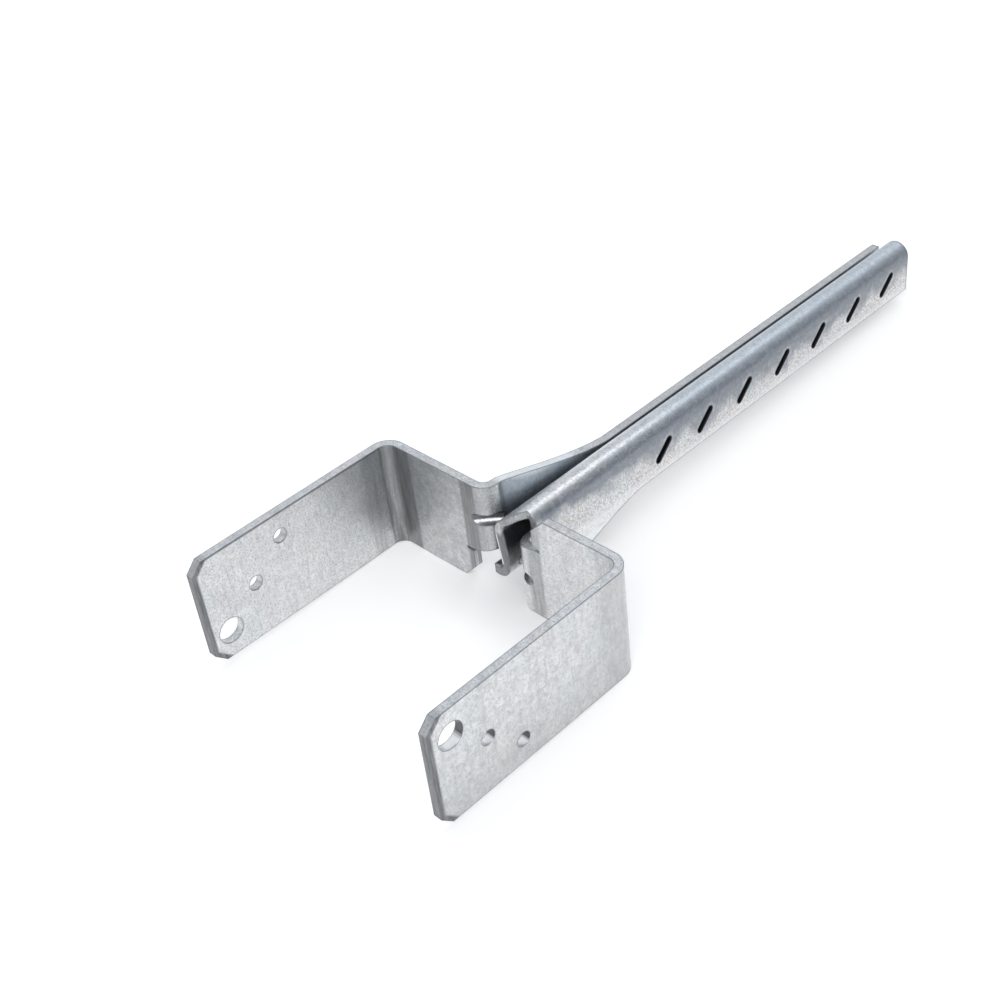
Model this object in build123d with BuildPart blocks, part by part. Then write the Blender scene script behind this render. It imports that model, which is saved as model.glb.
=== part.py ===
"""Post base folded from one piece of galvanised sheet, in millimetres.

X runs across the yoke from leg to leg, +Y runs along the stem to its free end,
Z is the width of the legs.  The origin is the centre of the seat, the face of
the yoke that the foot of the post stands against (plane y = 0, facing -Y).
The part is its own copy after half a turn about the Y axis, so one half is
modelled and added twice.
"""
import math
import os

from build123d import *

# yoke
SHEET = 3.0            # sheet thickness
LEG_WIDTH = 40.0       # width of the legs, along Z
YOKE_INSIDE = 100.0    # clear width between the legs
LEG_LENGTH = 80.0      # from the seat to the tip of a leg
TIP_CHAMFER = 4.0
FOLD_RADIUS = 4.0      # inside radius where leg and seat meet

# holes of one leg, distances from the tip and from the middle of the leg
BOLT_HOLE = 9.0
SCREW_HOLE = 5.0
BOLT_FROM_TIP = 8.0
SCREW_FROM_TIP = (20.5, 33.0)
BOLT_OFF_MIDDLE = 10.5
SCREW_OFF_MIDDLE = (-0.5, -11.5)

# bend between seat and stem wall
BEND_RADIUS = 3.0      # inside radius, on the stem side
BEND_TOP = 6.8         # the bend stops this far past the middle of the width
BEND_FALL = 2.3        # and is this much shorter where it meets the wall
PLATE_EDGE = 14.0      # free edge of the half seat beyond the bend
PLATE_CHAMFER = 5.5
NOTCH_WIDTH = 1.0      # relief notch in the half seat at the bend's end
NOTCH_DEPTH = 2.8
RIB_HEIGHT = 7.0       # stiffening rib, distance from the middle of the width
RIB_OUTER = 4.5        # radius of the rib on the stem side
RIB_INNER = 2.1        # radius of the groove on the seat side
RIB_REACH = 5.8        # how far the rib's ridge runs out along seat and wall

# stem
STEM_LENGTH = 216.0    # from the seat to the free end
STEM_HALF_WIDTH = 8.0  # outer face of a wall from the axis
CURL_RADIUS = 2.2      # inside radius of the two curls
CURL_HEIGHT = 6.7      # their centre above the axis
WALL_EDGE = 7.3        # free edge of a wall, below the axis
STEM_START = 0.0       # the web's end is flush with the seat
SHOULDER = 8.5         # the curls beside the bends begin this far behind the seat
NEAR_SLANT = 0.6       # the cut slants from here to the wall, on the +X side
FAR_SLANT = 4.5        # the same on the -X side

# flared part of a wall, between the bend and the plain stem
FLARE_END = 57.0
FLARE_CURVE = 1.6      # how fast the free edge narrows, 1 is a straight line
FLARE_BULGE = 2.0      # sideways bulge of the free edge at the widest place
FLARE_CUTS = 8         # sections used for the flare

# slots of the walls
SLOT_COUNT = 7
SLOT_FIRST = 69.7      # centre of the slot nearest the yoke
SLOT_PITCH = 22.0
SLOT_LENGTH = 10.0
SLOT_WIDTH = 2.6
SLOT_ANGLE = 43.0
SLOT_RISE = 1.2        # the slots sit this far above the axis

HALF_LEG = LEG_WIDTH / 2
LEG_IN = YOKE_INSIDE / 2
LEG_OUT = LEG_IN + SHEET
WALL_OUT = STEM_HALF_WIDTH
WALL_IN = WALL_OUT - SHEET
BEND_OUT = BEND_RADIUS + SHEET
BEND_X = WALL_IN + BEND_OUT      # centre of the bend between seat and wall
CURL_OUT = CURL_RADIUS + SHEET
CURL_X = WALL_OUT - CURL_OUT     # centre of the curl, off the stem's axis


def flare_section(share):
    """One cut through the flared wall on the +X side, at a share of its length."""
    y = BEND_OUT + share * (FLARE_END - BEND_OUT)
    edge = WALL_EDGE + (HALF_LEG - WALL_EDGE) * (1 - share) ** FLARE_CURVE
    bulge = FLARE_BULGE * math.sin(math.pi * share ** 0.6)
    plane = Plane(origin=(0, y, 0), x_dir=(1, 0, 0), z_dir=(0, -1, 0))
    with BuildSketch(plane) as section:
        with BuildLine():
            Bezier((WALL_OUT, 0), (WALL_OUT, -edge / 2), (WALL_OUT + bulge, -edge))
            Line((WALL_OUT + bulge, -edge), (WALL_IN + bulge, -edge))
            Bezier((WALL_IN + bulge, -edge), (WALL_IN, -edge / 2), (WALL_IN, 0))
            Line((WALL_IN, 0), (WALL_OUT, 0))
        make_face()
    return section.sketch


def shoulder_cut(slant):
    """Metal taken off the folded stem on its +X side: curl, then plain wall."""
    with BuildPart() as cut:
        with BuildSketch(Plane.XY.offset(CURL_HEIGHT)):
            with BuildLine():
                Polyline(
                    (slant, STEM_START - SHEET),
                    (slant, STEM_START),
                    (max(slant, WALL_IN - SHEET / 3), SHOULDER),
                    (WALL_OUT + SHEET, SHOULDER),
                    (WALL_OUT + SHEET, STEM_START - SHEET),
                    close=True,
                )
            make_face()
        extrude(amount=LEG_WIDTH)
        with Locations((WALL_IN, 0, 0)):
            Box(2 * SHEET, 2 * SHOULDER, 2 * CURL_HEIGHT, align=(Align.MIN, Align.CENTER, Align.CENTER))
        with Locations((WALL_IN, 0, 0)):
            Box(2 * SHEET, 2 * FLARE_END, LEG_WIDTH, align=(Align.MIN, Align.CENTER, Align.MAX))
    return cut.part


# one half of the yoke: half seat, fold, leg, bend into the stem wall, rib
with BuildPart() as half:
    # the strip of the yoke as a bent band, drawn in the XY plane
    with BuildSketch(Plane.XY.offset(-HALF_LEG)) as band:
        with BuildLine():
            fold_out = FOLD_RADIUS + SHEET
            Polyline((BEND_X, 0), (LEG_IN - FOLD_RADIUS, 0))
            JernArc((LEG_IN - FOLD_RADIUS, 0), (1, 0), FOLD_RADIUS, -90)
            Polyline(
                (LEG_IN, -FOLD_RADIUS),
                (LEG_IN, -LEG_LENGTH),
                (LEG_OUT, -LEG_LENGTH),
                (LEG_OUT, -FOLD_RADIUS),
            )
            JernArc((LEG_OUT, -FOLD_RADIUS), (0, 1), fold_out, 90)
            Polyline((LEG_IN - FOLD_RADIUS, SHEET), (BEND_X, SHEET), (BEND_X, 0))
        make_face()
    extrude(amount=LEG_WIDTH)

    # tip corners of the leg
    tip_edges = half.edges().filter_by(Axis.X).filter_by(
        lambda e: abs(e.center().Y + LEG_LENGTH) < 1e-6
    )
    chamfer(tip_edges, TIP_CHAMFER)

    # free inner corner of the half seat, past the end of the bend
    with BuildSketch(Plane.XZ) as corner:
        with BuildLine():
            Polyline(
                (BEND_X - 1, BEND_TOP),
                (PLATE_EDGE, BEND_TOP),
                (PLATE_EDGE, HALF_LEG - PLATE_CHAMFER),
                (PLATE_EDGE + PLATE_CHAMFER, HALF_LEG),
                (PLATE_EDGE + PLATE_CHAMFER, HALF_LEG + 1),
                (BEND_X - 1, HALF_LEG + 1),
                close=True,
            )
        make_face()
    extrude(amount=2 * SHEET, both=True, mode=Mode.SUBTRACT)

    # relief notch where the bend ends
    with Locations((PLATE_EDGE - 1, -SHEET, BEND_TOP)):
        Box(
            NOTCH_DEPTH + 1,
            3 * SHEET,
            NOTCH_WIDTH,
            align=(Align.MIN, Align.MIN, Align.MIN),
            mode=Mode.SUBTRACT,
        )

    # bend from the half seat into the wall, and the wall up to the curl's shoulder
    with BuildSketch(Plane.XY.offset(-HALF_LEG)) as bend:
        with BuildLine():
            Line((BEND_X, 0), (BEND_X, SHEET))
            JernArc((BEND_X, SHEET), (-1, 0), BEND_RADIUS, -90)
            Line((WALL_OUT, BEND_OUT), (WALL_IN, BEND_OUT))
            JernArc((BEND_X, 0), (-1, 0), BEND_OUT, -90)
        make_face()
    extrude(amount=HALF_LEG + BEND_TOP)
    with Locations((WALL_IN, BEND_OUT, 0)):
        Box(
            SHEET,
            SHOULDER - BEND_OUT + 1,
            BEND_TOP,
            align=(Align.MIN, Align.MIN, Align.MIN),
        )

    # the bend's end slants down towards the wall
    with BuildSketch(Plane.XZ) as end_cut:
        with BuildLine():
            Polyline(
                (PLATE_EDGE, BEND_TOP),
                (WALL_IN - 1, BEND_TOP - BEND_FALL),
                (WALL_IN - 1, BEND_TOP + 1),
                (PLATE_EDGE, BEND_TOP + 1),
                close=True,
            )
        make_face()
    extrude(amount=-SHOULDER, mode=Mode.SUBTRACT)

    # flared wall, from the bend to the plain stem
    loft(sections=[flare_section(cut / FLARE_CUTS) for cut in range(FLARE_CUTS + 1)])

    # stiffening rib pressed into the bend, at 45 degrees to seat and wall
    rib_line = WALL_OUT + SHEET + RIB_REACH
    bump_axis = rib_line / 2 - RIB_OUTER / math.sqrt(2)
    groove_axis = rib_line / 2 - (SHEET + RIB_INNER) / math.sqrt(2)
    with BuildPart(mode=Mode.PRIVATE) as bump:
        with Locations(Plane(origin=(bump_axis, bump_axis, -RIB_HEIGHT), z_dir=(-1, 1, 0))):
            Cylinder(RIB_OUTER, 2 * rib_line)
        with Locations((WALL_OUT - SHEET / 4, SHEET * 3 / 4, -RIB_HEIGHT)):
            Box(
                rib_line,
                rib_line,
                LEG_WIDTH,
                align=(Align.MIN, Align.MIN, Align.CENTER),
                mode=Mode.INTERSECT,
            )
    add(bump.part)
    with Locations(Plane(origin=(groove_axis, groove_axis, -RIB_HEIGHT), z_dir=(-1, 1, 0))):
        Cylinder(RIB_INNER, 2 * rib_line, mode=Mode.SUBTRACT)

    # holes of the leg
    with Locations(Plane.YZ.offset(LEG_IN + SHEET / 2)):
        with Locations((-LEG_LENGTH + BOLT_FROM_TIP, BOLT_OFF_MIDDLE)):
            Cylinder(BOLT_HOLE / 2, 2 * SHEET, mode=Mode.SUBTRACT)
        with Locations(
            (-LEG_LENGTH + SCREW_FROM_TIP[0], SCREW_OFF_MIDDLE[0]),
            (-LEG_LENGTH + SCREW_FROM_TIP[1], SCREW_OFF_MIDDLE[1]),
        ):
            Cylinder(SCREW_HOLE / 2, 2 * SHEET, mode=Mode.SUBTRACT)

# the whole part
with BuildPart() as post_base:
    # folded stem: wall, curl, web, curl and wall in one S
    centres = 2 * math.hypot(CURL_X, CURL_HEIGHT)
    touch = math.acos(-(CURL_OUT + CURL_RADIUS) / centres)
    turn = math.degrees(math.atan2(CURL_HEIGHT, CURL_X) + touch)
    web = math.sqrt(centres ** 2 - (CURL_OUT + CURL_RADIUS) ** 2)
    with BuildSketch(Plane(origin=(0, STEM_START, 0), x_dir=(1, 0, 0), z_dir=(0, -1, 0))):
        with BuildLine():
            with BuildLine(mode=Mode.PRIVATE) as side:
                wall = Line((WALL_OUT, -WALL_EDGE), (WALL_OUT, CURL_HEIGHT))
                over = JernArc(wall @ 1, wall % 1, CURL_OUT, turn)
                across = PolarLine(over @ 1, web, direction=over % 1)
                under = JernArc(across @ 1, across % 1, CURL_RADIUS, -turn)
                Line(under @ 1, (-WALL_IN, WALL_EDGE))
            add(side.line)
            add(side.line, rotation=180)
            Line((WALL_OUT, -WALL_EDGE), (WALL_IN, -WALL_EDGE))
            Line((-WALL_OUT, WALL_EDGE), (-WALL_IN, WALL_EDGE))
        make_face()
    extrude(amount=-(STEM_LENGTH - STEM_START))
    add(shoulder_cut(NEAR_SLANT), mode=Mode.SUBTRACT)
    add(shoulder_cut(FAR_SLANT), rotation=(0, 180, 0), mode=Mode.SUBTRACT)
    add(half.part)
    add(half.part, rotation=(0, 180, 0))
    # slanted slots, the same on both walls
    with BuildPart(mode=Mode.PRIVATE) as slots:
        with BuildSketch(Plane.YZ.offset(WALL_IN - 0.5)):
            with Locations((SLOT_FIRST + SLOT_PITCH * (SLOT_COUNT - 1) / 2, SLOT_RISE)):
                with GridLocations(SLOT_PITCH, 1, SLOT_COUNT, 1):
                    SlotOverall(SLOT_LENGTH, SLOT_WIDTH, rotation=SLOT_ANGLE)
        extrude(amount=SHEET + 1)
    add(slots.part, mode=Mode.SUBTRACT)
    add(slots.part, rotation=(0, 180, 0), mode=Mode.SUBTRACT)

os.makedirs("parts", exist_ok=True)
post_base.part.label = "post_base"
export_step(post_base.part, "parts/post_base.step")
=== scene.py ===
"""Looks of the galvanised post base: zinc sheet with spangle, floor, light and camera."""
import math
from types import SimpleNamespace

import bpy
from mathutils import Matrix, Vector


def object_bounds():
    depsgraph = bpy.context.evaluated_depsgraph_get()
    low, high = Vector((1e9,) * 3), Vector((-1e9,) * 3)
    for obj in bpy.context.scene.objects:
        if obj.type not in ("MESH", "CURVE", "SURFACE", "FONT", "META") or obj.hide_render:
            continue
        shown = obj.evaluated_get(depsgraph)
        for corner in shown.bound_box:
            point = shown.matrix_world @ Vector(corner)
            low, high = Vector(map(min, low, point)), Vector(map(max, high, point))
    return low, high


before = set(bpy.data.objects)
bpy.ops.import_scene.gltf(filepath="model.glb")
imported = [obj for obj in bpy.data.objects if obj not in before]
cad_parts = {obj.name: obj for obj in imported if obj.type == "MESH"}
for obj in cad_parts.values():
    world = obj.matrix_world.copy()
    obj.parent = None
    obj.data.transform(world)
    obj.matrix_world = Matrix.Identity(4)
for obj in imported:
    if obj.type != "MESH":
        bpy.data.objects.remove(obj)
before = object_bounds()

# camera, as fitted to the photograph
FOCAL_MM = 53.98
SENSOR_MM = 36.0
CAMERA_AT = (0.2766, -0.2383, 0.2971)
CAMERA_RIGHT = (0.7093, 0.6972, -0.1036)
CAMERA_BACK = (0.6011, -0.5217, 0.6055)

# the part's sizes in metres, the outer ones from the frame
LEG_TIP = before[0][1]
LEG_OUT, STEM_END, HALF_LEG = before[1]
SHEET = 0.003
LEG_IN = LEG_OUT - SHEET
TIP_CHAMFER = 0.004
SEAT_EDGE = 0.0140              # free edge of a half seat beside the bend
SHOULDER = 0.0085               # the curls beside the bends begin here
WALL_OUT = 0.008
WALL_IN = WALL_OUT - SHEET
WALL_EDGE = -0.0073             # free edge of a wall, up from the axis
CURL_AT = (0.0028, 0.0067)      # centre of a curl, across and up from the axis
CURL_RADIUS = 0.0022
WEB_SLANT = 0.14                # the web's run to the side, for each step up
RIB_AT = 0.009588               # across plus along, on the groove's axis
RIB_HEIGHT = 0.007              # of that axis, down from the stem's
RIB_GROOVE = 0.0021             # the groove's radius
SLOT_FIRST = 0.0697             # middle of the first slot, along the stem
SLOT_PITCH = 0.022
SLOT_RISE = 0.0012              # middle of each slot, up from the axis
SLOT_LENGTH = 0.010
SLOT_WIDTH = 0.0026
SLOT_ANGLE = math.radians(43)

# marks on the coat and painted shade, in metres
CORNER_AT = (-0.048, -0.006, 0.012)     # middle of the left half's dim corner
PATCH_HEIGHT = 0.001
DARK_PATCHES = ((-0.0115, 0.0095, 0.46), (-0.0710, 0.0100, 0.20))     # along, reach and share
FOLD_SHADE = 0.0453              # across from the axis
LEG_MARK = -0.0095              # along the stem's axis, and so is the next one
WALL_MARK = 0.0072
EDGE_ROUNDING = 0.0007
DENT_DEPTH = 0.00020

# the part lies on the back edges of its yoke and on the end of its stem
YOKE_REST = (0.0035, -HALF_LEG)  # y and z of the yoke's lowest back edge
STEM_REST = (STEM_END, -0.0119)  # y and z of the stem's lowest point
PAPER_SIZE = 3.0
PAPER_GAP = 0.0001
PAPER_GLOW = 0.30               # of the paper, as the metal mirrors it
NEAR_GLOW, FAR_GLOW = 0.29, 0.42    # as the camera sees it, beside the part and far from it
GLOW_REACH = (0.16, 0.60)       # the distances at which those are reached
HOOK_SHADE = 0.19               # a painted shadow, taken off it under the folded sheet's end
SHADE_REACH = (0.004, 0.024)
SHADE_SQUEEZE = (0.6, 1.0, 1.0)     # makes the shaded place longer across the stem
DIM_SIDE = (0.85, 0.40, 0.35)   # the room is dim on this side
ROOM_LIGHT = 0.95

TONES = SimpleNamespace(
    dark_cloud=(0.69, 0.70, 0.71),
    pale_cloud=(0.76, 0.755, 0.75),
    blotch=(0.50, 0.51, 0.53),
    left_leg_light=(0.96, 0.96, 0.96),
    mottle=(0.90, 0.90, 0.90),
    spangle=(0.44, 0.46, 0.49),
    grain=(0.36, 0.36, 0.365),
    drawn_line=(0.40, 0.41, 0.43),
    warm_tint=(1.0, 0.955, 0.94),
    cool_tint=(0.94, 0.98, 1.0),
    wall_speckle=(0.46, 0.42, 0.385),
    wall_grain=(0.93, 0.95, 0.97),
    free_edge=(0.94, 0.94, 0.94),
    darkened_leg=(0.42, 0.42, 0.42),
    crest_reflection=(0.38, 0.48, 0.57),
    flank_light=(0.95, 0.97, 0.99),
    dark_reflection_band=(0.26, 0.28, 0.315),
    dark_reflection_line=(0.17, 0.19, 0.225),
    inner_wall_shade=(0.30, 0.36, 0.42),
    dim_corner=(0.24, 0.26, 0.275),
    darkening=(0.24, 0.25, 0.26),
    far_edge_shade=(0.36, 0.36, 0.37),
    slot_highlight=(0.90, 0.91, 0.92),
    unlit=(0.04, 0.044, 0.048),
    sheet_end_shade=(0.13, 0.135, 0.14),
    edge_highlight=(0.92, 0.93, 0.94),
    groove=(0.05, 0.05, 0.055),
    hole_shade=(0.08, 0.08, 0.085),
    hole_light=(0.97, 0.97, 0.97),
    tool_mark_and_fold_shade=(0.22, 0.225, 0.225),
    bend_shade_and_dark_edge=(0.24, 0.245, 0.25),
    edge_line=(0.16, 0.165, 0.17),
    sheared=(0.175, 0.175, 0.18),
    rim=(0.22, 0.225, 0.235),
    paper=(0.88, 0.87, 0.86),
    paper_glow=(1.0, 0.99, 0.98),
    room=(0.85, 0.89, 0.935),
    room_shade=(0.30, 0.335, 0.38),
    white=(1, 1, 1),
    cool_lamp=(0.95, 0.98, 1.0),
)


class Graph:
    """An emptied node tree, with a short method for each step that the materials take."""

    def __init__(self, owner):
        owner.use_nodes = True
        self.tree = owner.node_tree
        self.tree.nodes.clear()
        self.colour = None

    def add(self, kind, **settings):
        node = self.tree.nodes.new(kind)
        for name, value in settings.items():
            setattr(node, name, value)
        return node

    def feed(self, socket, value):
        """Links a socket to value where that is one, else sets it. Colours get their alpha."""
        if hasattr(value, "links"):
            self.tree.links.new(value, socket)
        elif socket.type == "RGBA":
            socket.default_value = (*value, 1)
        else:
            socket.default_value = value

    def shade(self, kind, **inputs):
        """A shader; input names are written with _ for a space."""
        node = self.add(kind)
        for name, value in inputs.items():
            self.feed(node.inputs[name.replace("_", " ")], value)
        return node.outputs[0]

    def output(self, kind, shader):
        """Sends a shader to an output node of this kind."""
        self.feed(self.add(kind).inputs[0], shader)

    def step(self, kind, first, second=0.0):
        node = self.add("ShaderNodeMath", operation=kind)
        self.feed(node.inputs[0], first)
        self.feed(node.inputs[1], second)
        return node.outputs[0]

    def chain(self, kind, terms):
        result = terms[0]
        for term in terms[1:]:
            result = self.step(kind, result, term)
        return result

    def product(self, *terms):
        return self.chain("MULTIPLY", terms)

    def total(self, *terms):
        return self.chain("ADD", terms)

    def most(self, *terms):
        return self.chain("MAXIMUM", terms)

    def without(self, value):
        """What value leaves of 1."""
        return self.step("SUBTRACT", 1.0, value)

    def span(self, value, low, high, out_low=0.0, out_high=1.0):
        """Maps value from low..high to out_low..out_high, held at both ends."""
        node = self.add("ShaderNodeMapRange", clamp=True)
        for name, setting in (("Value", value), ("From Min", low), ("From Max", high),
                              ("To Min", out_low), ("To Max", out_high)):
            self.feed(node.inputs[name], setting)
        return node.outputs["Result"]

    def either(self, mask, outside, inside):
        """One value outside a mask, another inside it."""
        return self.span(mask, 0.0, 1.0, outside, inside)

    def band(self, value, middle, half, soft):
        """1 within half of the middle, falling to 0 over soft."""
        away = self.step("ABSOLUTE", self.step("SUBTRACT", value, middle))
        return self.span(away, half, half + soft, 1.0, 0.0)

    def vector(self, kind, first, second=(0, 0, 0)):
        node = self.add("ShaderNodeVectorMath", operation=kind)
        self.feed(node.inputs[0], first)
        self.feed(node.inputs[1], second)
        plain = kind in ("DISTANCE", "LENGTH", "DOT_PRODUCT")
        return node.outputs["Value" if plain else "Vector"]

    def point(self, x, y):
        node = self.add("ShaderNodeCombineXYZ")
        self.feed(node.inputs[0], x)
        self.feed(node.inputs[1], y)
        return node.outputs[0]

    def parts(self, vector):
        node = self.add("ShaderNodeSeparateXYZ")
        self.feed(node.inputs[0], vector)
        return node.outputs[:3]

    def noise(self, vector, scale, detail, rough, distortion=0.0, offset=(0, 0, 0)):
        """A noise texture on this vector, moved by offset so that no two are alike."""
        texture = self.add("ShaderNodeTexNoise")
        self.feed(texture.inputs["Vector"], self.vector("ADD", vector, offset))
        texture.inputs["Scale"].default_value = scale
        texture.inputs["Detail"].default_value = detail
        texture.inputs["Roughness"].default_value = rough
        texture.inputs["Distortion"].default_value = distortion
        return texture.outputs["Fac"]

    def blend(self, share, first, second, mode="MIX"):
        node = self.add("ShaderNodeMix", data_type="RGBA", blend_type=mode)
        for number, value in ((0, share), (6, first), (7, second)):
            self.feed(node.inputs[number], value)
        return node.outputs[2]

    def paint(self, share, tone, mode="MIX"):
        """Lays a tone over the colour so far, by this share of it."""
        self.colour = self.blend(share, self.colour, tone, mode)


def read_surface(graph):
    """Where a point lies on the part and which way it faces there. Across is from the
    stem's axis, and up is turned round on the left half, so that both halves read alike."""
    where = graph.add("ShaderNodeTexCoord").outputs["Object"]
    x, along, z = graph.parts(where)
    surface = graph.add("ShaderNodeNewGeometry")
    facing_x, facing_y, facing_z = graph.parts(surface.outputs["True Normal"])
    side = graph.step("SIGN", x)
    right = graph.span(x, 0.0, 0.001)
    outward = graph.span(graph.product(facing_x, side), 0.5, 0.7)
    faces_across = graph.span(graph.step("ABSOLUTE", facing_x), 0.6, 0.8)
    faces_up = graph.span(facing_z, 0.35, 0.75)
    return SimpleNamespace(
        where=where, x=x, along=along, z=z, side=side,
        across=graph.step("ABSOLUTE", x),
        height=graph.step("ABSOLUTE", z),
        up=graph.product(z, side),
        facing_x=facing_x, facing_y=facing_y, facing_z=facing_z,
        outward=outward,
        faces_across=faces_across,
        not_across=graph.without(faces_across),
        faces_along=graph.span(graph.step("ABSOLUTE", facing_y), 0.6, 0.8),
        faces_up=faces_up,
        not_up=graph.without(faces_up),
        right=right,
        left=graph.without(right),
        wall=graph.product(graph.span(along, 0.004, 0.020), outward),
        yoke=graph.span(along, 0.006, 0.001),
        right_leg=graph.product(graph.span(x, LEG_OUT - 0.0010, LEG_OUT - 0.0005), faces_across),
        normal=surface.outputs["Normal"],
    )


def zinc_textures(graph, at):
    """Soft clouds, blotches, mottling, a fine grain, lines drawn out along Z, and spangle.
    Each noise has its scale, detail, roughness, distortion and offset."""
    spangle = graph.add("ShaderNodeTexVoronoi", feature="F1")
    spangle.inputs["Scale"].default_value = 700.0
    graph.feed(spangle.inputs["Vector"], at.where)
    leaf = graph.add("ShaderNodeSeparateColor")
    graph.feed(leaf.inputs[0], spangle.outputs["Color"])
    drawn_out = graph.vector("MULTIPLY", at.where, (1.0, 1.0, 0.08))
    return SimpleNamespace(
        cloud=graph.noise(at.where, 45.0, 3.0, 0.6),
        tint=graph.noise(at.where, 75.0, 2.0, 0.5, 0.6, (0.4, 0.9, 0.6)),
        wave=graph.noise(at.where, 90.0, 3.0, 0.6, 0.5, (0.7, 0.2, 0.9)),
        blotch=graph.noise(at.where, 240.0, 3.0, 0.6, 0.3, (0.6, 0.5, 0.1)),
        mottle=graph.noise(at.where, 480.0, 4.0, 0.7, 0.4, (0.3, 0.1, 0.7)),
        speckle=graph.noise(at.where, 900.0, 4.0, 0.8, 0.0, (0.2, 0.8, 0.1)),
        grain=graph.noise(at.where, 1500.0, 2.0, 0.7, 0.2, (1.3, 0.4, 0.2)),
        streak=graph.noise(drawn_out, 900.0, 3.0, 0.65, 0.0, (0.9, 0.2, 0.5)),
        leaf=leaf.outputs[0],
    )


def paint_zinc(graph, at, zinc):
    """The coat's own colour, with its clouds, spangle and grain, warm and cool in turn, and
    painted light that makes the left leg paler away from its fold.
    """
    graph.colour = graph.blend(graph.span(zinc.cloud, 0.38, 0.62), TONES.dark_cloud, TONES.pale_cloud)
    blotch = graph.span(zinc.blotch, 0.44, 0.62, 0.0, 0.52)
    less_on_wall = graph.either(at.wall, 1.0, 0.7)
    graph.paint(graph.product(blotch, less_on_wall), TONES.blotch)
    # painted light: the left leg is paler away from its fold
    beside_leg = graph.span(at.x, 0.006 - LEG_IN, 0.002 - LEG_IN)
    past_fold = graph.span(at.along, -0.004, -0.014, 0.0, 0.35)
    graph.paint(graph.product(beside_leg, past_fold, at.not_up), TONES.left_leg_light)
    graph.paint(graph.span(zinc.mottle, 0.42, 0.60, 0.0, 0.60), TONES.mottle)
    graph.paint(graph.span(zinc.leaf, 0.0, 1.0, 0.0, 0.30), TONES.spangle)
    grain = graph.span(zinc.grain, 0.49, 0.65, 0.0, 0.66)
    less_on_leg = graph.either(at.right_leg, 1.0, 0.72)
    graph.paint(graph.product(grain, less_on_leg), TONES.grain)
    graph.paint(graph.span(zinc.streak, 0.54, 0.66, 0.0, 0.34), TONES.drawn_line)
    tinted = graph.blend(graph.span(zinc.tint, 0.40, 0.60), TONES.warm_tint, TONES.cool_tint)
    more_on_wall = graph.either(at.wall, 0.25, 0.95)
    graph.paint(more_on_wall, tinted, "MULTIPLY")


def paint_walls(graph, at, zinc):
    """Warm, coarse grain and a paler free edge on the stem's walls."""
    speckle = graph.span(zinc.speckle, 0.44, 0.58, 0.0, 0.95)
    grain = graph.span(zinc.grain, 0.48, 0.62, 0.0, 0.85)
    free_edge = graph.span(at.up, -0.0030, -0.0065, 0.0, 0.55)
    graph.paint(graph.product(at.wall, speckle), TONES.wall_speckle)
    graph.paint(graph.product(at.wall, grain), TONES.wall_grain)
    graph.paint(graph.product(at.wall, free_edge), TONES.free_edge)


def paint_right_leg(graph, at):
    """The right leg's outer face is darker downwards, which is painted shade, and darker towards its fold.
    """
    downwards = graph.span(at.z, 0.004, -0.018, 0.0, 0.36)
    to_the_fold = graph.span(at.along, -0.026, -0.004, 0.0, 0.52)
    # painted shade downwards, and darker towards the fold
    graph.paint(graph.product(at.right_leg, graph.most(downwards, to_the_fold)), TONES.darkened_leg)


def paint_curl_tops(graph, at):
    """The curls' crests are bluer and darker behind the flare, a painted reflection, and their
    flanks paler, a painted light.
    """
    # painted reflection: the crests bluer and darker behind the flare
    behind_flare = graph.span(at.along, 0.045, 0.100, 0.0, 0.40)
    on_crest = graph.span(at.up, 0.0085, 0.0100)
    graph.paint(graph.product(behind_flare, on_crest), TONES.crest_reflection)
    # painted light: the flanks paler
    from_axis = graph.product(at.x, graph.step("SIGN", at.z))
    on_flank = graph.span(from_axis, 0.0016, -0.0006, 0.0, 0.60)
    on_curl = graph.span(at.height, 0.0088, 0.0094)
    past_shoulder = graph.span(at.along, 0.006, 0.010)
    less_behind_flare = graph.span(at.along, 0.040, 0.065, 1.0, 0.35)
    graph.paint(graph.product(on_flank, on_curl, past_shoulder, less_behind_flare), TONES.flank_light)


def paint_dark_reflection_band(graph, at, zinc):
    """A painted dark reflection band on the outer side of the curls, with a darker line along
    it. Its ragged lower limit falls with the flare, then rises and falls once for each slot."""
    lower_limit = graph.span(at.along, 0.020, 0.070, 0.0060, 0.0005)
    past_start = graph.step("SUBTRACT", at.along, SLOT_FIRST - SLOT_PITCH / 4)
    wave = graph.step("SINE", graph.product(past_start, 2 * math.pi / SLOT_PITCH))
    ripple = graph.product(wave, graph.span(at.along, 0.055, 0.062, 0.0, 0.0012))
    ragged = graph.span(zinc.wave, 0.35, 0.65, -0.0020, 0.0020)
    past_limit = graph.total(graph.step("SUBTRACT", at.up, lower_limit), ripple, ragged)
    above_limit = graph.span(past_limit, -0.0027, 0.0018)
    below_crest = graph.span(at.up, 0.0090, 0.0115, 1.0, 0.0)
    past_shoulder = graph.span(at.along, 0.008, 0.012)
    outer_side = graph.span(at.across, 0.0045, 0.0060)
    reflection_band = graph.product(above_limit, below_crest, past_shoulder, outer_side)
    uneven = graph.span(zinc.mottle, 0.35, 0.62, 1.0, 0.7)
    # painted reflection: a dark band, and a darker line within it
    graph.paint(graph.product(reflection_band, uneven), TONES.dark_reflection_band)
    line = graph.band(at.up, 0.0074, 0.0010, 0.0016)
    graph.paint(graph.product(reflection_band, line, 0.35), TONES.dark_reflection_line)


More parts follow.
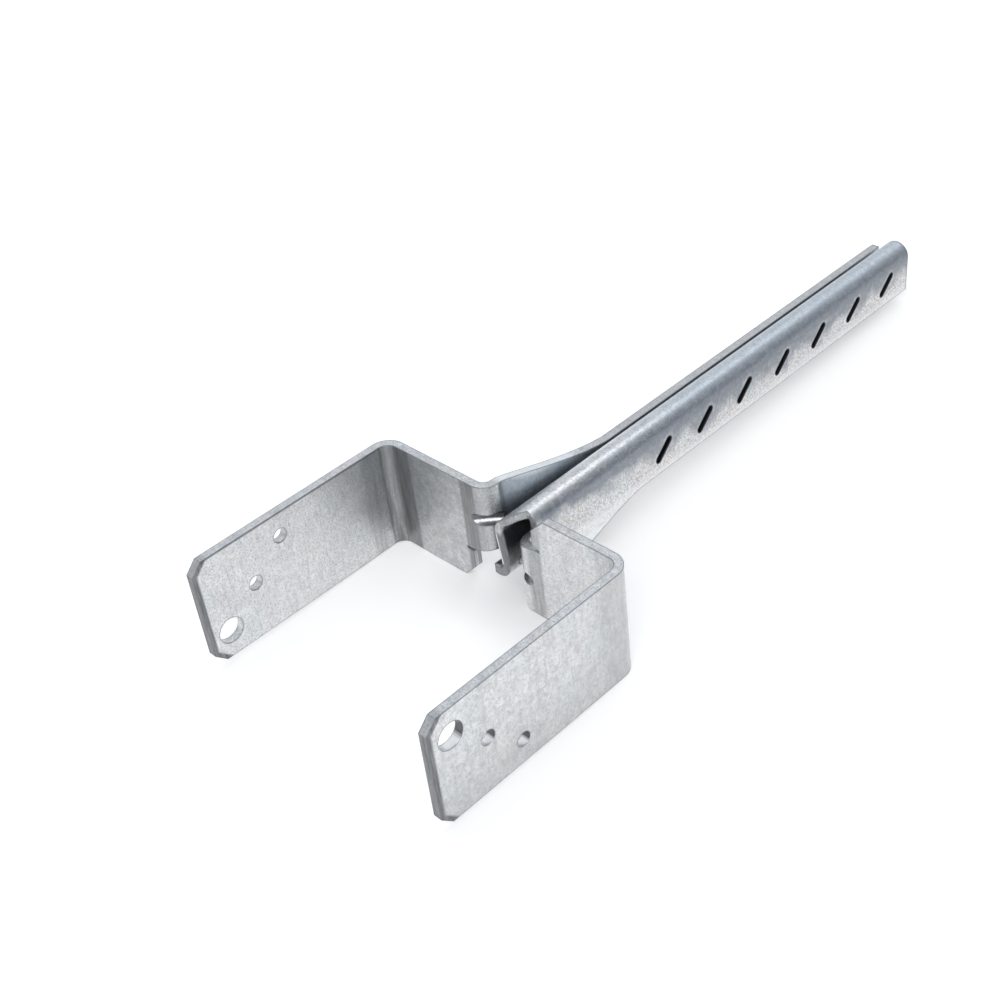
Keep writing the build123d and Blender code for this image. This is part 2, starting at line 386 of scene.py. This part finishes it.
def paint_inner_wall_shade(graph, at, zinc):
    """Painted shade, blue, on the left wall's face towards the web. Returns its mask."""
    on_face = graph.band(at.x, -WALL_IN - 0.0003, 0.0012, 0.0004)
    past_bend = graph.span(at.along, 0.0055, 0.0070)
    inner_wall_shade = graph.product(at.left, at.faces_across, on_face, past_bend)
    darker_behind = graph.span(at.along, 0.006, 0.050, 0.66, 0.88)
    uneven = graph.span(zinc.mottle, 0.38, 0.62, 1.0, 0.70)
    # painted shade in the gap between the wall and the curl
    graph.paint(graph.product(inner_wall_shade, darker_behind, uneven), TONES.inner_wall_shade)
    return inner_wall_shade


def paint_left_yoke(graph, at, zinc):
    """Painted shade in the left half's corner and on its half seat, and darker patches on its leg."""
    from_corner = graph.vector("DISTANCE", at.where, CORNER_AT)
    in_corner = graph.span(from_corner, 0.006, 0.030, 0.52, 0.0)
    # painted shade in the left half's corner
    graph.paint(graph.product(in_corner, at.not_up), TONES.dim_corner)
    on_seat = graph.span(at.along, 0.0010, 0.0005)
    uneven = graph.span(zinc.blotch, 0.40, 0.60, 0.16, 0.34)
    # painted shade on the left half seat
    graph.paint(graph.product(at.left, at.faces_along, on_seat, uneven), TONES.darkening)
    # darker patches on the left leg
    ragged = graph.span(zinc.cloud, 0.35, 0.65, -0.003, 0.003)
    for along, reach, share in DARK_PATCHES:
        from_spot = graph.vector("DISTANCE", at.where, (-LEG_IN, along, PATCH_HEIGHT))
        darkening = graph.span(graph.total(from_spot, ragged), 0.001, reach, share, 0.0)
        graph.paint(graph.product(darkening, at.not_up), TONES.darkening)


def paint_far_edge(graph, at):
    """Painted shade on the left wall's upper edge behind the flare."""
    on_edge = graph.span(at.up, WALL_EDGE + 0.0005, WALL_EDGE + 0.0002)
    behind_flare = graph.span(at.along, 0.045, 0.065, 0.0, 0.36)
    graph.paint(graph.product(at.left, at.faces_up, on_edge, behind_flare), TONES.far_edge_shade)


def slot_distance(graph, at):
    """Distance from the middle line of the nearest slot, in the plane of the wall."""
    first_gap = SLOT_FIRST - SLOT_PITCH / 2
    pitches = graph.step("DIVIDE", graph.step("SUBTRACT", at.along, first_gap), SLOT_PITCH)
    step = graph.product(graph.step("SUBTRACT", graph.step("FRACT", pitches), 0.5), SLOT_PITCH)
    rise = graph.step("SUBTRACT", at.up, SLOT_RISE)
    cosine = math.cos(SLOT_ANGLE)
    sine = math.sin(SLOT_ANGLE)
    lengthways = graph.total(graph.product(step, cosine), graph.product(rise, sine))
    sideways = graph.step("SUBTRACT", graph.product(rise, cosine), graph.product(step, sine))
    half_line = (SLOT_LENGTH - SLOT_WIDTH) / 2
    past_line = graph.most(graph.step("SUBTRACT", graph.step("ABSOLUTE", lengthways), half_line), 0.0)
    return graph.vector("LENGTH", graph.point(past_line, sideways))


def inside_stem(graph, at):
    """Mask of the painted shade inside the folded stem. Each chamber is darkest in its curl and
    paler towards its open side."""
    on_wall = graph.span(at.across, 0.0040, 0.0042)
    web_side = graph.product(graph.without(on_wall), graph.step("SIGN", at.facing_x))
    chamber = graph.total(graph.product(on_wall, at.side), web_side)
    deep = graph.span(graph.product(at.z, chamber), -0.0062, 0.0005)
    from_curl = graph.vector("DISTANCE", graph.point(at.across, at.up), (*CURL_AT, 0.0))
    in_curl = graph.span(from_curl, CURL_RADIUS + 0.0008, CURL_RADIUS + 0.0004)
    between_walls = graph.span(at.across, WALL_IN + 0.00015, WALL_IN)
    under_curl = graph.span(at.height, 0.0090, 0.0088)
    past_seat = graph.span(at.along, 0.0004, 0.0012)
    return graph.product(between_walls, under_curl, past_seat, graph.most(deep, in_curl), 0.90)


def paint_slots_and_inside(graph, at, zinc):
    """A painted highlight ring and painted shade on the rolled-in edge round each slot, and
    painted shade, dark as unlit zinc, on the slots' walls and inside the folded stem. Returns
    the mask of the slots' dark parts."""
    from_slot = slot_distance(graph, at)
    from_first = graph.span(at.along, 0.0590, 0.0592)
    to_last = graph.span(at.along, 0.2126, 0.2124)
    slotted = graph.product(at.outward, from_first, to_last)
    # painted highlight: a pale ring round each slot
    ring = graph.band(from_slot, 0.0021, 0.0003, 0.0008)
    uneven = graph.span(zinc.mottle, 0.35, 0.65, 0.04, 0.24)
    graph.paint(graph.product(slotted, ring, uneven), TONES.slot_highlight)
    # painted shade on the rolled-in edge
    rolled_in = graph.product(slotted, graph.span(from_slot, 0.00168, 0.00154))
    in_row = graph.product(graph.span(at.along, 0.055, 0.056), graph.span(at.along, 0.2135, 0.2130))
    in_wall = graph.span(at.across, WALL_IN - 0.0001, WALL_IN)
    beside_axis = graph.span(at.height, 0.0066, 0.0064)
    slot_face = graph.product(at.not_across, in_row, in_wall, beside_axis)
    slot_dark = graph.most(slot_face, rolled_in)
    graph.paint(graph.most(inside_stem(graph, at), graph.product(slot_dark, 0.98)), TONES.unlit)
    return slot_dark


def paint_sheet_end(graph, at):
    """The folded sheet's end in the seat: painted shade, darker towards its right, with a
    painted highlight down its left edge. Returns the mask of that line."""
    near_axis = graph.span(at.across, 0.0056, 0.0052)
    before_curls = graph.span(at.along, SHOULDER + 0.0007, SHOULDER + 0.0003)
    under_curl = graph.span(at.z, 0.0068, 0.0048)
    end_face = graph.product(at.faces_along, near_axis, before_curls, under_curl)
    from_web = graph.total(at.x, graph.product(at.z, WEB_SLANT))
    shade_depth = graph.span(from_web, -0.0015, 0.0010, 0.72, 0.90)
    graph.paint(graph.product(end_face, shade_depth), TONES.sheet_end_shade)
    # painted highlight down the left edge
    left_edge = graph.span(from_web, -0.00085, -0.00105)
    above_hook = graph.span(at.z, -0.0066, -0.0060)
    edge_highlight = graph.product(end_face, left_edge, above_hook)
    graph.paint(graph.product(edge_highlight, 0.85), TONES.edge_highlight)
    return edge_highlight


def paint_groove(graph, at):
    """The rib's pressed groove, which runs at 45 degrees: unlit but for its lower side."""
    aside = graph.product(graph.step("SUBTRACT", graph.total(at.across, at.along), RIB_AT), math.sqrt(0.5))
    from_axis = graph.vector("LENGTH", graph.point(aside, graph.total(at.up, RIB_HEIGHT)))
    on_groove = graph.band(from_axis, RIB_GROOVE, 0.00010, 0.00008)
    not_lower = graph.span(at.facing_z, 0.58, 0.38, 0.0, 0.93)
    inside_edge = graph.span(at.across, SEAT_EDGE + 0.0005, SEAT_EDGE + 0.0002)
    graph.paint(graph.product(on_groove, not_lower, inside_edge), TONES.groove)


def paint_hole_walls(graph, at):
    """The punched walls of the right leg's holes: painted shade towards the fold, painted light
    below. Returns their mask."""
    chamfer_from = HALF_LEG - TIP_CHAMFER
    between_chamfers = graph.span(at.height, chamfer_from, chamfer_from - 0.0002)
    past_fold = graph.span(at.along, -0.030, -0.031)
    before_tip = graph.span(at.along, LEG_TIP + 0.0014, LEG_TIP + 0.0016)
    in_leg = graph.product(at.right, at.not_across, between_chamfers, past_fold, before_tip)
    towards_fold = graph.span(at.facing_y, -0.45, -0.85, 0.0, 0.92)
    below = graph.span(at.facing_z, 0.55, 0.85, 0.0, 0.85)
    graph.paint(graph.product(in_leg, towards_fold), TONES.hole_shade)
    graph.paint(graph.product(in_leg, below), TONES.hole_light)
    return in_leg


def paint_tool_marks_and_fold_shade(graph, at, zinc, inner_wall_shade):
    """Painted shade in and beside the folds, and marks of the bending tool on the legs and
    beside the bends.
    """
    # painted shade in and beside the folds, stronger on the left
    in_fold = graph.product(graph.span(at.along, -0.0045, -0.0038), graph.span(at.along, 0.0012, 0.0006))
    fold_line = graph.band(at.across, FOLD_SHADE, 0.0045, 0.0012)
    fold_shade = graph.product(in_fold, at.not_up, graph.either(at.left, 0.30, 1.0), fold_line)
    leg_line = graph.band(at.along, LEG_MARK, 0.0020, 0.0012)
    leg_mark = graph.product(leg_line, at.faces_across, graph.either(at.outward, 0.35, 0.10))
    shifted = graph.total(at.across, graph.product(at.left, 0.0010))
    bend_line = graph.band(shifted, SEAT_EDGE + 0.0003, 0.0024, 0.0012)
    bend_mark = graph.product(bend_line, at.faces_along, at.yoke, graph.either(at.left, 0.60, 0.95))
    wall_line = graph.band(at.along, WALL_MARK, 0.0007, 0.0009)
    wall_mark = graph.product(inner_wall_shade, wall_line, 0.5)
    marks = graph.most(fold_shade, leg_mark, bend_mark, wall_mark)
    uneven = graph.span(zinc.streak, 0.35, 0.60, 0.60, 1.0)
    graph.paint(graph.product(marks, uneven), TONES.tool_mark_and_fold_shade)


def paint_dark_edges_and_shade(graph, at):
    """Painted shade on the left bend and in a line under the left leg's upper edge, a darker
    back to the half seats' free edges, and a darker free end to the stem."""
    # painted shade on the left bend
    on_bend = graph.band(at.across, 0.0100, 0.0035, 0.0015)
    left_bend = graph.product(at.left, at.yoke, at.not_up, on_bend, 0.45)
    on_free_edge = graph.band(at.across, SEAT_EDGE, 0.0001, 0.0001)
    at_back = graph.span(at.along, 0.0012, 0.0016)
    free_cut = graph.product(on_free_edge, at.faces_across, at_back, 0.80)
    graph.paint(graph.most(left_bend, free_cut), TONES.bend_shade_and_dark_edge)
    # painted shade in a line under the left leg's upper edge
    near_top = graph.span(at.z, HALF_LEG - 0.0008, HALF_LEG - 0.0006)
    on_left_leg = graph.span(at.x, 0.0003 - LEG_IN, 0.0001 - LEG_IN)
    past_fold = graph.span(at.along, -0.003, -0.006)
    edge_line = graph.product(near_top, on_left_leg, past_fold, at.faces_across, 0.60)
    stem_end = graph.span(at.along, STEM_END - 0.0010, STEM_END - 0.0004, 0.0, 0.42)
    graph.paint(graph.most(edge_line, stem_end), TONES.edge_line)


def paint_tips(graph, at, zinc):
    """The sheared ends of the legs are duller, with a rolled-over strip beside the cut, and
    less so on their upper faces, which is painted light. Returns their mask."""
    past_tip = graph.step("SUBTRACT", at.along, LEG_TIP)
    past_corner = graph.total(graph.step("SUBTRACT", past_tip, at.height), HALF_LEG - TIP_CHAMFER)
    past_cut = graph.step("MINIMUM", past_tip, graph.product(past_corner, math.sqrt(0.5)))
    sheared = graph.span(past_cut, 0.0013, 0.0020, 1.0, 0.0)
    uneven = graph.span(zinc.streak, 0.40, 0.62, 1.0, 0.72)
    # painted light: the dulling is weaker on upper faces
    less_on_lit_top = graph.either(at.faces_up, 1.0, 0.40)
    graph.paint(graph.product(sheared, uneven, less_on_lit_top), TONES.sheared)
    return sheared


def zinc_sheet():
    material = bpy.data.materials.new("galvanised sheet")
    graph = Graph(material)
    at = read_surface(graph)
    zinc = zinc_textures(graph, at)
    paint_zinc(graph, at, zinc)
    paint_walls(graph, at, zinc)
    paint_right_leg(graph, at)
    paint_curl_tops(graph, at)
    paint_dark_reflection_band(graph, at, zinc)
    inner_wall_shade = paint_inner_wall_shade(graph, at, zinc)
    paint_left_yoke(graph, at, zinc)
    paint_far_edge(graph, at)
    slot_dark = paint_slots_and_inside(graph, at, zinc)
    edge_highlight = paint_sheet_end(graph, at)
    paint_groove(graph, at)
    hole_walls = paint_hole_walls(graph, at)
    paint_tool_marks_and_fold_shade(graph, at, zinc, inner_wall_shade)
    paint_dark_edges_and_shade(graph, at)
    sheared = paint_tips(graph, at, zinc)

    # the sheet's edges are a little rounded, and darker along the rim
    rounded = graph.add("ShaderNodeBevel", samples=8)
    rounded.inputs["Radius"].default_value = EDGE_ROUNDING
    level = graph.vector("DOT_PRODUCT", rounded.outputs[0], at.normal)
    rim = graph.span(level, 0.995, 0.92)
    no_rim = graph.most(slot_dark, edge_highlight, graph.product(hole_walls, 0.6))
    graph.paint(graph.product(rim, graph.without(no_rim), 0.80), TONES.rim)

    # the grain dents the surface slightly
    bump = graph.add("ShaderNodeBump")
    bump.inputs["Strength"].default_value = 0.55
    bump.inputs["Distance"].default_value = DENT_DEPTH
    graph.feed(bump.inputs["Height"], graph.total(zinc.mottle, graph.product(zinc.grain, 0.4)))
    graph.feed(bump.inputs["Normal"], rounded.outputs[0])

    uneven = graph.span(zinc.mottle, 0.3, 0.7, 0.27, 0.40)
    behind_flare = graph.span(at.along, 0.050, 0.090, 0.0, 0.10)
    rough = graph.total(uneven, graph.product(at.wall, 0.05), behind_flare, graph.product(sheared, 0.2))
    shader = graph.shade(
        "ShaderNodeBsdfPrincipled", Base_Color=graph.colour, Metallic=0.9, Roughness=rough,
        Normal=bump.outputs["Normal"])
    graph.output("ShaderNodeOutputMaterial", shader)
    return material


def white_paper():
    """Camera and mirror rays see the paper a little brighter than it lights the part, so
    that it looks nearly white and keeps the part's shadow. Camera rays also see a painted
    shadow under the folded sheet's end."""
    material = bpy.data.materials.new("white paper")
    graph = Graph(material)
    on_floor = graph.add("ShaderNodeTexCoord").outputs["Object"]
    path = graph.add("ShaderNodeLightPath").outputs
    from_part = graph.vector("LENGTH", on_floor)
    from_hook = graph.vector("LENGTH", graph.vector("MULTIPLY", on_floor, SHADE_SQUEEZE))
    outwards = graph.span(from_part, *GLOW_REACH, NEAR_GLOW, FAR_GLOW)
    # painted shadow on the floor under the folded sheet's end
    shaded = graph.span(from_hook, *SHADE_REACH, HOOK_SHADE, 0.0)
    seen = graph.product(path["Is Camera Ray"], graph.step("SUBTRACT", outwards, shaded))
    mirrored = graph.product(graph.most(path["Is Glossy Ray"], path["Is Transmission Ray"]), PAPER_GLOW)
    matt = graph.shade("ShaderNodeBsdfDiffuse", Color=TONES.paper)
    glow = graph.shade("ShaderNodeEmission", Color=TONES.paper_glow, Strength=graph.most(seen, mirrored))
    both = graph.add("ShaderNodeAddShader")
    graph.feed(both.inputs[0], matt)
    graph.feed(both.inputs[1], glow)
    graph.output("ShaderNodeOutputMaterial", both.outputs[0])
    return material


def lay_floor():
    """A large sheet of paper under the two places where the part rests."""
    lean = math.atan2(STEM_REST[1] - YOKE_REST[1], STEM_REST[0] - YOKE_REST[0])
    just_under = (0, YOKE_REST[0], YOKE_REST[1] - PAPER_GAP)
    bpy.ops.mesh.primitive_plane_add(size=PAPER_SIZE, location=just_under, rotation=(lean, 0, 0))
    floor = bpy.context.object
    floor.name = "floor"
    floor.data.materials.append(white_paper())


def soft_box(name, at, to, size, power, colour=TONES.white):
    light = bpy.data.lights.new(name, "AREA")
    light.shape = "RECTANGLE"
    light.size, light.size_y = size
    light.energy = power
    light.color = colour
    lamp = bpy.data.objects.new(name, light)
    bpy.context.scene.collection.objects.link(lamp)
    lamp.location = at
    lamp.rotation_euler = (Vector(to) - Vector(at)).to_track_quat("-Z", "Y").to_euler()


def build_room():
    """The room is pale all round and dim over the back right; the camera sees it white."""
    world = bpy.data.worlds.new("studio")
    bpy.context.scene.world = world
    graph = Graph(world)
    toward = graph.add("ShaderNodeTexCoord").outputs["Generated"]
    dimness = graph.vector("DOT_PRODUCT", toward, Vector(DIM_SIDE).normalized())
    tone = graph.blend(graph.span(dimness, 0.60, 0.92), TONES.room, TONES.room_shade)
    room = graph.shade("ShaderNodeBackground", Color=tone, Strength=ROOM_LIGHT)
    white = graph.shade("ShaderNodeBackground", Color=TONES.white, Strength=1.0)
    either = graph.add("ShaderNodeMixShader")
    graph.feed(either.inputs[0], graph.add("ShaderNodeLightPath").outputs["Is Camera Ray"])
    graph.feed(either.inputs[1], room)
    graph.feed(either.inputs[2], white)
    graph.output("ShaderNodeOutputWorld", either.outputs[0])


def set_camera():
    lens = bpy.data.cameras.new("camera")
    lens.lens = FOCAL_MM
    lens.sensor_width = SENSOR_MM
    lens.clip_start = 0.01
    camera = bpy.data.objects.new("camera", lens)
    bpy.context.scene.collection.objects.link(camera)
    right = Vector(CAMERA_RIGHT).normalized()
    back = Vector(CAMERA_BACK).normalized()
    up = back.cross(right).normalized()
    right = up.cross(back)
    turn = Matrix((right, up, back)).transposed().to_4x4()
    camera.matrix_world = Matrix.Translation(CAMERA_AT) @ turn
    bpy.context.scene.camera = camera
    bpy.context.scene.view_settings.view_transform = "Standard"


post_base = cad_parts["post_base"]
post_base.data.materials.clear()
post_base.data.materials.append(zinc_sheet())
lay_floor()
soft_box("over the back", at=(-0.10, 0.85, 1.30), to=(0, 0.05, 0), size=(0.6, 0.7), power=1.7,
         colour=TONES.cool_lamp)
soft_box("front", at=(0.75, -0.80, 1.00), to=(0, 0, 0), size=(0.9, 0.9), power=6.0)
build_room()
set_camera()
